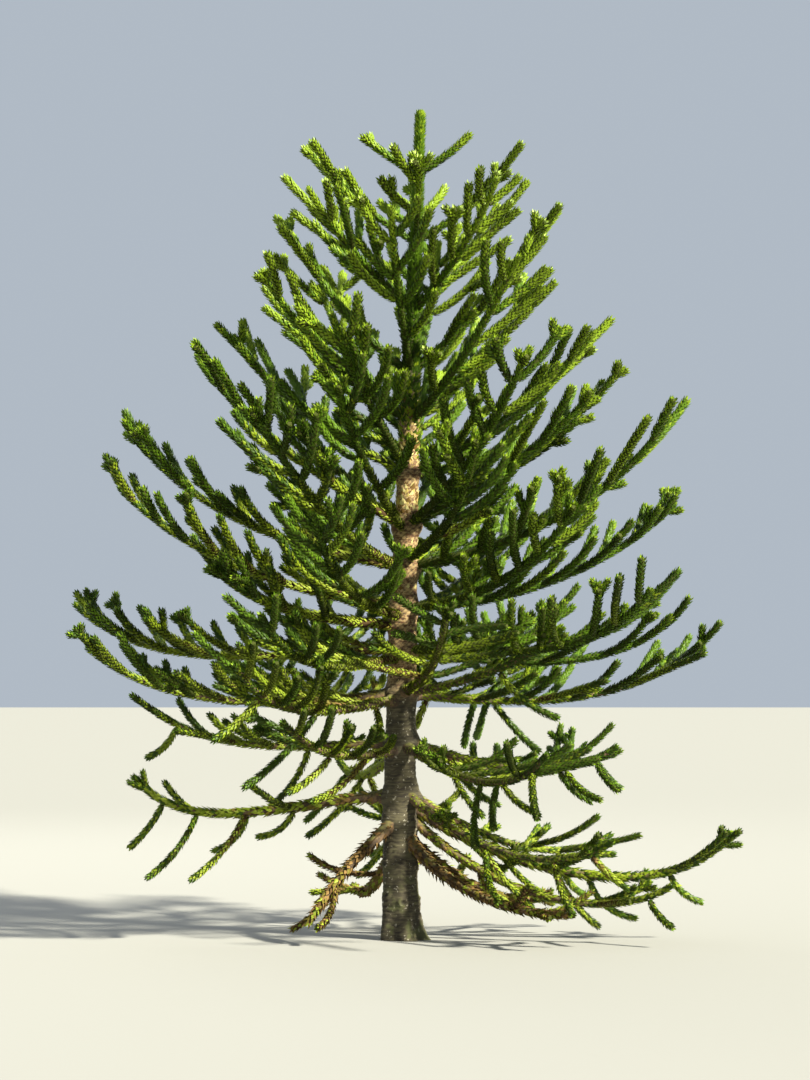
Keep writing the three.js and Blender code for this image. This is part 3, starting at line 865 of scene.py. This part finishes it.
# %% The tree that makes cores
def core_tree():
    """A tree that makes a tube along each stem, as wide as its core."""
    graph, given = new_tree("cores of stems", ("Sides",))
    lines = graph.node("GeometryNodeMeshToCurve", None, {"Mesh": given["Stems"]})
    ring = {"Resolution": given["Sides"], "Radius": 1.0}
    ring = graph.node("GeometryNodeCurvePrimitiveCircle", None, ring)
    tube = {"Curve": lines, "Profile Curve": ring, "Scale": stored(graph, "girth"), "Fill Caps": True}
    tube = graph.node("GeometryNodeCurveToMesh", None, tube)
    tube = graph.node("GeometryNodeRealizeInstances", None, {"Geometry": tube})
    return end_tree(graph, paint(graph, tube, stored(graph, "tone"), TWIG_STEPS))


cores_tree = core_tree()
print("nodes in the core tree:", len(cores_tree.nodes))

# %% Run a tree on some stems
def stems_object(name, group):
    """A mesh of loose lines with the quantities of the stems stored in it."""
    mesh = bpy.data.meshes.new(name)
    places = np.concatenate([one["places"] for one in group])
    ends = np.cumsum([len(one["places"]) for one in group])
    edges = [(i, i + 1) for i in range(len(places) - 1) if i + 1 not in set(ends)]
    mesh.from_pydata(places.tolist(), edges, [])
    for quantity in QUANTITIES:
        values = np.concatenate([one[quantity] for one in group])
        mesh.attributes.new(quantity, "FLOAT", "POINT").data.foreach_set("value", values)
    lines = bpy.data.objects.new(name, mesh)
    scene.collection.objects.link(lines)
    return lines


def grow(name, group, tree, sizes):
    """The plain mesh object that a Geometry Nodes tree makes from some stems."""
    lines = stems_object(name + "_stems", group)
    modifier = lines.modifiers.new("grow", "NODES")
    modifier.node_group = tree
    sockets = {item.name: item.identifier for item in tree.interface.items_tree}
    for size, value in sizes.items():
        modifier[sockets[size]] = value
    evaluated = lines.evaluated_get(bpy.context.evaluated_depsgraph_get())
    mesh = bpy.data.meshes.new_from_object(evaluated)
    mesh.name = name
    for quantity in QUANTITIES:
        if quantity in mesh.attributes:
            mesh.attributes.remove(mesh.attributes[quantity])
    lines.modifiers.remove(modifier)
    bpy.data.meshes.remove(lines.data)
    piece = bpy.data.objects.new(name, mesh)
    scene.collection.objects.link(piece)
    return piece


def triangles(piece):
    """The number of triangles in a piece."""
    piece.data.calc_loop_triangles()
    return len(piece.data.loop_triangles)


print("quantities with each place:", ", ".join(QUANTITIES))

# %% [markdown]
# ## Foliage, whorl by whorl
# Each whorl's leaves are one piece and its cores another. That keeps every piece small enough to
# handle, and lets a whorl be picked out on its own.

# %% Make the foliage
# Spacing is how many metres of stem each leaf takes. The spreads are how far leaves stray from what
# is stored with their stem, and the old leaves of the lowest two whorls stray most.
LEAF_SIZES = {
    "Spacing": 0.0027, "Tone spread": 0.04, "Lean spread": 0.10, "Size spread": 0.12, "Width": 1.0,
}
OLD_SIZES = {
    1: {"Lean spread": 0.3, "Tone spread": 0.14},
    2: {"Lean spread": 0.16, "Tone spread": 0.12},
}
CORE_SIZES = {"Sides": 5}

foliage = {}
for whorl in range(1, 14):
    sizes = LEAF_SIZES | OLD_SIZES.get(whorl, {})
    leaves = grow(f"leaves_whorl_{whorl:02d}", stems[whorl], leaves_tree, sizes)
    twigs = grow(f"twigs_whorl_{whorl:02d}", stems[whorl], cores_tree, CORE_SIZES)
    foliage[whorl] = (leaves, twigs)
    print(leaves.name, triangles(leaves), "triangles, twigs", triangles(twigs))

# %% [markdown]
# ## The trunk
# Low down the bark is an elephant's leg: grey-brown, wrinkled in rings, with a swollen collar at
# each whorl and round scars where limbs have dropped. Higher up the old leaf bases still show as a
# lattice. All of it is real relief in the mesh: a grid of places round and up the trunk, whose
# distance from the trunk's line is worked out from a few waves. The depth of the grooves, pits and
# hollows is stored too, and the material darkens them with it as painted shade.

# %% The trunk's relief
ROUND = 84
FINE_STEP = 0.0075
COARSE_STEP = 0.03
FINE_TOP = 3.3
RING_GAP = 0.036
LATTICE_START, LATTICE_END = 1.45, 1.75
LATTICE_GAPS = (0.075, 0.06)
RING_DEPTH, SEAM_DEPTH = 0.0042, 0.0035
SWELL, SWELL_WIDTH = 0.0045, 0.035
RIBS, RIB_DEPTH = 5, 0.13
OLD_WHORLS = [0.26, 0.47]


def ramp(low, high, value):
    """0 below low, 1 above high, and smooth between them."""
    t = np.clip((value - low) / (high - low), 0, 1)
    return t * t * (3 - 2 * t)


def bump(value, width):
    """A smooth hill that is 1 high where the value is 0."""
    return np.exp(-((value / width) ** 2))


def angle_gap(a, b):
    """How far one angle is from another, the short way round."""
    return (a - b + np.pi) % (2 * np.pi) - np.pi


def root_rib(angle, z):
    """The roots' shoulders show as five low ribs at the foot."""
    return 1 + RIB_DEPTH * np.exp(-z / (2 * FLARE_HEIGHT)) * np.cos(RIBS * angle + 0.7)


def rough(places, size, octaves=4):
    """Natural unevenness from -1 to 1 with lumps of the given size."""
    return np.array([noise.fractal(Vector(p) / size, 0.6, 2.1, octaves) for p in places])


def trunk_relief(angle, z):
    """Height of the bark above the plain trunk, and how deep in a groove it lies, from 0 to 1."""
    sway = 0.42 * np.sin(2 * angle + 5 * z) + 0.3 * np.sin(3 * angle - 9 * z + 1)
    sway = sway + 0.22 * np.sin(7 * angle + 21 * z)
    ring = (0.5 + 0.5 * np.cos(2 * np.pi * (z / RING_GAP + sway))) ** 5
    low = 1 - ramp(LATTICE_START, LATTICE_END, z)
    groove = ring * low * (0.55 + 0.45 * np.sin(3 * angle + 13 * z))
    height = -RING_DEPTH * groove
    helix = np.cos(5 * angle + 2 * np.pi * z / LATTICE_GAPS[0])
    helix = helix * np.cos(8 * angle - 2 * np.pi * z / LATTICE_GAPS[1])
    seam = (1 - np.abs(helix)) ** 4 * (1 - low)
    height = height - SEAM_DEPTH * seam
    for at in OLD_WHORLS + [row["at"] for row in BOUGHS]:
        height = height + SWELL * bump(z - at, SWELL_WIDTH)
    return height, np.clip(groove + seam, 0, 1)


print("rings in the fine bark:", round(FINE_TOP / FINE_STEP))

# %% Collars and scars
COLLARS_END = 3.2
COLLAR, COLLAR_SHARE, COLLAR_WIDTH = 0.018, 0.3, 0.055
SCARS = 5
SCAR_RIM, SCAR_RADIUS, SCAR_RIM_WIDTH = 0.008, 0.026, 0.011
SCAR_PIT, SCAR_PIT_WIDTH, SCAR_SHADE_WIDTH = 0.009, 0.016, 0.018


def limb_scars(angle, z):
    """Collars round the feet of the limbs and the round scars of the lost ones, and how much the
    scars' pits are darkened as painted shade.
    """
    height = 0 * z
    pit = 0 * z
    for bough in (one for one in boughs if one["at"] < COLLARS_END):
        radius = float(trunk_radius(bough["at"]))
        turn_by = angle_gap(angle, math.radians(bough["compass"])) * radius
        away = np.hypot(turn_by, z - bough["at"])
        height = height + min(COLLAR, COLLAR_SHARE * radius) * bump(away, COLLAR_WIDTH)
    for k, at in enumerate(OLD_WHORLS):
        for scar in range(SCARS):
            middle = 2 * math.pi * scar / SCARS + 1.1 * k + 0.25 * uneven(scar, k, 3)
            level = at + 0.03 * uneven(scar, k, 5)
            away = np.hypot(angle_gap(angle, middle) * float(trunk_radius(at)), (z - level) * 1.2)
            height = height + SCAR_RIM * bump(away - SCAR_RADIUS, SCAR_RIM_WIDTH)
            height = height - SCAR_PIT * bump(away, SCAR_PIT_WIDTH)
            # The scar's pit is darkened as painted shade.
            pit = pit + bump(away, SCAR_SHADE_WIDTH)
    return height, pit


print("scars of lost limbs:", SCARS * len(OLD_WHORLS))

# %% Make the trunk
LUMP_SIZE, LUMP_HEIGHT = 0.05, 0.0028
FULL_RELIEF_RADIUS, LEAST_RELIEF = 0.08, 0.15


def closed_tube(name, rings, depth):
    """A smooth closed mesh from an array of rings of places, with a cap at each end. The depth of
    the grooves is stored in it, for the shade that the bark paints into them."""
    count, round_count = rings.shape[:2]
    ids = np.arange(count * round_count).reshape(count, round_count)
    beside = np.roll(ids, -1, axis=1)
    quads = np.stack([ids[:-1], beside[:-1], beside[1:], ids[1:]], axis=-1).reshape(-1, 4)
    mesh = bpy.data.meshes.new(name)
    caps = [ids[0][::-1].tolist(), ids[-1].tolist()]
    mesh.from_pydata(rings.reshape(-1, 3).tolist(), [], quads.tolist() + caps)
    mesh.polygons.foreach_set("use_smooth", [True] * len(quads) + [False, False])
    mesh.attributes.new("depth", "FLOAT", "POINT").data.foreach_set("value", depth.ravel())
    piece = bpy.data.objects.new(name, mesh)
    scene.collection.objects.link(piece)
    return piece


fine, coarse = np.arange(0, FINE_TOP, FINE_STEP), np.arange(FINE_TOP, TRUNK_TOP, COARSE_STEP)
heights = np.concatenate([fine, coarse, [TRUNK_TOP]])
z, angle = np.meshgrid(heights, np.linspace(0, 2 * np.pi, ROUND, endpoint=False), indexing="ij")
relief, groove = trunk_relief(angle, z)
collar, pit = limb_scars(angle, z)
outward = np.stack([np.cos(angle), np.sin(angle), 0 * angle], axis=-1)
radius = trunk_radius(z) * root_rib(angle, z)
plain = trunk_axis(z) + outward * radius[..., None]
lumps = rough(plain.reshape(-1, 3), LUMP_SIZE).reshape(z.shape)
taper = np.clip(trunk_radius(z) / FULL_RELIEF_RADIUS, LEAST_RELIEF, 1)
radius = radius + taper * (relief + LUMP_HEIGHT * lumps) + collar
rings = trunk_axis(z) + outward * radius[..., None]
# The stored depth paints shade into the grooves, the scars' pits and the hollows between lumps.
trunk = closed_tube("trunk_wood", rings, np.clip(groove + pit - 0.25 * lumps, 0, 1))
print("trunk:", triangles(trunk), "triangles")

# %% [markdown]
# ## Bark
# The bark's colour follows the height: grey-brown rings below, and above shoulder height the tan of
# old leaf bases and a red-brown that is partly their own colour and partly painted shade between the
# scales. Noise in Object coordinates breaks it up, with pale flecks of lichen and a little green
# algae low down. The grooves are darkened by the depth that is stored in the mesh, as painted shade,
# and a Bump node adds grain finer than the mesh.

# %% Tools for bark
# The colour that painted shade in the grooves darkens towards.
CREVICE_SHADE = (0.018, 0.012, 0.009, 1)


def blend_colours(graph, factor, first, second):
    """The colour between two others."""
    inputs = {0: factor, 6: first, 7: second}
    return graph.node("ShaderNodeMix", {"data_type": "RGBA"}, inputs, output=2)


def smooth_step(graph, value, low, high):
    """0 below low, 1 above high, and smooth between them."""
    settings = {"interpolation_type": "SMOOTHSTEP"}
    return graph.node("ShaderNodeMapRange", settings, {"Value": value, 1: low, 2: high})


def cloud(graph, place, scale, detail=4.0):
    """Noise from 0 to 1."""
    inputs = {"Vector": place, "Scale": scale, "Detail": detail, "Roughness": 0.6}
    return graph.node("ShaderNodeTexNoise", None, inputs)


def stretched(graph, place, x, y, z):
    """The place with each axis scaled by its own number."""
    return graph.node("ShaderNodeMapping", None, {"Vector": place, "Scale": (x, y, z)})


def new_bark(name):
    """A material with its graph, its Principled shader and its Object coordinates."""
    material = bpy.data.materials.new(name)
    material.use_nodes = True
    graph = Graph(material.node_tree)
    shader = material.node_tree.nodes["Principled BSDF"]
    place = graph.node("ShaderNodeTexCoord", output="Object")
    return material, graph, shader, place


def finish_bark(graph, shader, colour, groove_shade, roughness, relief, distance):
    """Paints shade into the grooves by their stored depth, and feeds the shader its colour, its
    roughness and its finest grain.
    """
    groove = graph.node("ShaderNodeAttribute", {"attribute_name": "depth"}, output="Fac")
    # Painted shade: the stored depth darkens the colour in the grooves.
    colour = blend_colours(graph, groove * groove_shade, colour, CREVICE_SHADE)
    graph.feed(shader.inputs["Base Color"], colour)
    graph.feed(shader.inputs["Roughness"], roughness)
    grain_inputs = {"Height": relief, "Strength": 0.5, "Distance": distance}
    graph.feed(shader.inputs["Normal"], graph.node("ShaderNodeBump", None, grain_inputs))


print("colour of the grooves:", CREVICE_SHADE[:3])

# %% The trunk's bark
BARK_DARK = (0.026, 0.021, 0.011, 1)
BARK_GREY = (0.092, 0.080, 0.042, 1)
BARK_PALE = (0.400, 0.370, 0.290, 1)
BASE_TAN = (0.350, 0.245, 0.110, 1)
# The red-brown is partly the leaf bases' own colour and partly painted shade between the scales.
BASE_RED_AND_SHADE = (0.105, 0.046, 0.018, 1)
ALGAE = (0.070, 0.086, 0.020, 1)
STEM_GREEN = (0.060, 0.062, 0.014, 1)

trunk_bark, graph, shader, place = new_bark("trunk_bark")
height = graph.node("ShaderNodeSeparateXYZ", None, {0: place}, output="Z")
patches = cloud(graph, place, 9.0)
bands = cloud(graph, stretched(graph, place, 6, 6, 55), 1.6)
grain = cloud(graph, stretched(graph, place, 60, 60, 150), 1.0, 5.0)
ringed = smooth_step(graph, patches * 0.45 + bands * 0.55, 0.38, 0.62)
grey = blend_colours(graph, ringed, BARK_DARK, BARK_GREY)
fleck = cloud(graph, place, 42.0, 2.0)
grey = blend_colours(graph, smooth_step(graph, fleck, 0.62, 0.7) * 0.8, grey, BARK_PALE)
low = 1 - smooth_step(graph, height, 0.15, 0.75)
grey = blend_colours(graph, low * smooth_step(graph, patches, 0.5, 0.62) * 0.55, grey, ALGAE)
pale = smooth_step(graph, fleck * 0.5 + bands * 0.5, 0.42, 0.56)
bases = blend_colours(graph, pale, BASE_RED_AND_SHADE, BASE_TAN)
upper = smooth_step(graph, height + 0.35 * patches, 1.6, 1.95)
colour = blend_colours(graph, upper, grey, bases)
top = smooth_step(graph, height + 0.3 * patches, 3.3, 3.7)
colour = blend_colours(graph, top, colour, STEM_GREEN)
relief = grain * 0.6 + bands * 0.4
# The grooves are darkened as painted shade by 0.85 of their depth.
finish_bark(graph, shader, colour, 0.85, 0.78 + 0.2 * grain, relief, 0.004)
trunk.data.materials.append(trunk_bark)
print("nodes in the trunk's bark:", len(trunk_bark.node_tree.nodes))

# %% [markdown]
# ## The bare limbs
# The limbs of the lowest four whorls have lost their leaves near the trunk. The wood is a tube round
# the limb's line with a swollen foot, wrinkles across it and uneven lumps. It is made along almost
# the whole limb, so that it also shows between the thin leaves further out.

# %% Make the limbs
LIMB_ROUND = 14
LIMB_STEP = 0.012
WOOD_START, WOOD_END = 0.4, 0.96
FOOT_SWELL, FOOT_FROM, FOOT_FADE = 0.022, 0.1, 0.045
WRINKLE_GAP, WRINKLE_DEPTH = 0.03, 0.07
LIMB_LUMP_SIZE, LIMB_LUMP_HEIGHT = 0.035, 0.11


def limb_wood(bough):
    """The rings of a limb's wood, from inside the trunk nearly to its tip, and the depth of their
    wrinkles and hollows, which the bark darkens as painted shade.
    """
    length = bough["length"]
    first = WOOD_START * float(trunk_radius(bough["at"])) / length
    shares = np.linspace(first, WOOD_END, round(length / LIMB_STEP))
    places, ways = on_curve(bough["handles"], shares)
    side = np.cross(ways, UP)
    side /= np.linalg.norm(side, axis=1, keepdims=True)
    top = np.cross(side, ways)
    angle = np.linspace(0, 2 * np.pi, LIMB_ROUND, endpoint=False)
    around = side[:, None] * np.cos(angle)[:, None] + top[:, None] * np.sin(angle)[:, None]
    metres = (shares * length)[:, None]
    swell = FOOT_SWELL * np.exp(-(metres - FOOT_FROM) / FOOT_FADE).clip(0, 1)
    radius = limb_radius(bough, shares)[:, None] + swell
    wave = metres / WRINKLE_GAP + 0.3 * np.sin(2 * angle + 7 * metres)
    wrinkle = (0.5 + 0.5 * np.cos(2 * np.pi * wave)) ** 4
    plain = places[:, None] + around * radius[..., None]
    lumps = rough(plain.reshape(-1, 3), LIMB_LUMP_SIZE, 3).reshape(wrinkle.shape)
    radius = radius * (1 - WRINKLE_DEPTH * wrinkle + LIMB_LUMP_HEIGHT * lumps)
    # The depth of the wrinkles and hollows, by which shade is painted into them.
    depth = np.clip(0.8 * wrinkle - 0.4 * lumps, 0, 1)
    return places[:, None] + around * radius[..., None], depth


def join(name, parts):
    """One object made of several."""
    with bpy.context.temp_override(active_object=parts[0], selected_editable_objects=parts):
        bpy.ops.object.join()
    parts[0].name = name
    parts[0].data.name = name
    return parts[0]


limbs = {}
for whorl in range(1, 5):
    tubes = []
    for bough in (one for one in boughs if one["whorl"] == whorl):
        tubes.append(closed_tube("limb_" + bough["name"], *limb_wood(bough)))
    limbs[whorl] = join(f"limbs_whorl_{whorl:02d}", tubes)
    print(limbs[whorl].name, triangles(limbs[whorl]), "triangles")

# %% The limbs' bark
LIMB_DARK = (0.040, 0.026, 0.014, 1)
LIMB_BROWN = (0.150, 0.092, 0.045, 1)
LIMB_MOSS = (0.115, 0.130, 0.022, 1)

limb_bark, graph, shader, place = new_bark("limb_bark")
patches = cloud(graph, place, 14.0)
grain = cloud(graph, place, 120.0, 5.0)
mottled = smooth_step(graph, patches * 0.6 + grain * 0.4, 0.4, 0.6)
colour = blend_colours(graph, mottled, LIMB_DARK, LIMB_BROWN)
normal = graph.node("ShaderNodeNewGeometry", output="Normal")
facing_up = graph.node("ShaderNodeSeparateXYZ", None, {0: normal}, output="Z")
moss = smooth_step(graph, facing_up * 0.5 + patches, 0.55, 0.95)
colour = blend_colours(graph, moss * 0.7, colour, LIMB_MOSS)
# The wrinkles are darkened as painted shade by 0.7 of their depth.
finish_bark(graph, shader, colour, 0.7, 0.8 + 0.18 * grain, grain, 0.003)
for piece in limbs.values():
    piece.data.materials.append(limb_bark)
print("nodes in the limbs' bark:", len(limb_bark.node_tree.nodes))

# %% [markdown]
# ## Old scales and the leafy leader
# From about shoulder height the trunk still carries its own old leaves, dried to tan scales that lie
# flat and catch the light as a bright lattice. Near the top they are alive: the leader is as leafy as
# any shoot. Both are the same spiral of leaves as on the shoots, run along the trunk's own line.

# %% Scales on the trunk
SCALE_TONES = [
    ("scale_red", -1.0, (0.120, 0.070, 0.018), 0.85),
    ("scale_tan", 0.32, (0.330, 0.255, 0.080), 0.80),
    ("scale_straw", 0.64, (0.520, 0.455, 0.190), 0.75),
]
SCALE_SIZES = {
    "Spacing": 0.0011, "Tone spread": 0.42, "Lean spread": 0.16, "Size spread": 0.2, "Width": 1.5,
}
SCALES_LOW, SCALES_HIGH = 1.45, 3.45
SCALE_LEAF, SCALE_TONE = (0.040, 0.044), (0.42, 0.45)
SCALE_LEAN = (math.radians(13), math.radians(24))
SCALE_COVER = ([SCALES_LOW, 1.8, 3.1, SCALES_HIGH], [0.0, 0.92, 0.95, 0.0])
LINE_STEP, LEAST_GIRTH = 0.03, 0.021
TOP_THINNER, TOP_SHORTER, TOP_CLOSER, TOP_PALER = 0.3, 0.35, 0.45, 0.15


def trunk_stem(low, high, leaf, lean, cover, tone, closed):
    """A stem on the trunk's line between two heights, with the trunk's radius as its core."""
    z = np.linspace(low, high, round((high - low) / LINE_STEP))
    share = np.linspace(0, 1, len(z))
    young = np.clip(1 - (high - z) / BUD, 0, 1) if closed else 0 * z
    girth = np.maximum(trunk_radius(np.minimum(z, TRUNK_TOP)), LEAST_GIRTH)
    return {
        "places": trunk_axis(z),
        "girth": girth * (1 - TOP_THINNER * young),
        "leaf": mix(*leaf, share) * (1 - TOP_SHORTER * young),
        "lean": mix(*lean, share) * (1 - TOP_CLOSER * young),
        "cover": np.interp(z, *cover),
        "tone": mix(*tone, share) + TOP_PALER * young,
    }


scales_tree = leaf_tree("scales on the trunk", tone_steps(SCALE_TONES))
scale_stem = trunk_stem(
    SCALES_LOW, SCALES_HIGH, SCALE_LEAF, SCALE_LEAN, SCALE_COVER, SCALE_TONE, closed=False
)
scales = grow("trunk_scales", [scale_stem], scales_tree, SCALE_SIZES)
print(scales.name, triangles(scales), "triangles")

# %% The leafy leader
LEADER_SIZES = LEAF_SIZES | {"Spacing": 0.00115, "Width": 1.15}
LEADER_LOW, LEADER_TIP = 3.0, 5.27
LEADER_LEAF, LEADER_TONE = (0.048, 0.040), (0.36, 0.58)
LEADER_LEAN = (math.radians(40), math.radians(42))
LEADER_COVER = ([LEADER_LOW, 3.4], [0.0, 1.0])

leader = trunk_stem(
    LEADER_LOW, LEADER_TIP, LEADER_LEAF, LEADER_LEAN, LEADER_COVER, LEADER_TONE, closed=True
)
leader_leaves = grow("leaves_leader", [leader], leaves_tree, LEADER_SIZES)
crown_leaves = grow("leaves_crown", stems[14], leaves_tree, LEAF_SIZES)
crown_twigs = grow("twigs_crown", stems[14], cores_tree, CORE_SIZES)
print(leader_leaves.name, triangles(leader_leaves), "triangles")

# %% [markdown]
# ## Putting the pieces in the frame
# The whole tree is one body. Every piece rides on it and hides the plain CAD nodes it stands for.

# %% Ride and replace
def place_piece(piece, nodes):
    """Sets what a piece rides on, and hides the CAD nodes it stands for."""
    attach(piece, "root")
    if nodes:
        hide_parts(*nodes)


place_piece(trunk, ["trunk"])
place_piece(scales, [])
for whorl, piece in limbs.items():
    place_piece(piece, [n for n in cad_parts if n.startswith(f"bough_{whorl:02d}")])
for whorl, (leaves, twigs) in foliage.items():
    masses = [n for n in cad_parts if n.startswith(f"foliage_{whorl:02d}")]
    place_piece(leaves, masses)
    place_piece(twigs, masses)
for piece in (leader_leaves, crown_leaves, crown_twigs):
    place_piece(piece, ["foliage_leader"])
bpy.data.objects.remove(leaf_shape)
added = [one for one in scene.objects if one.type == "MESH" and one.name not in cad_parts]
pieces = [piece for piece in added if piece != floor]
print("pieces:", len(pieces), "with", sum(triangles(piece) for piece in pieces), "triangles")
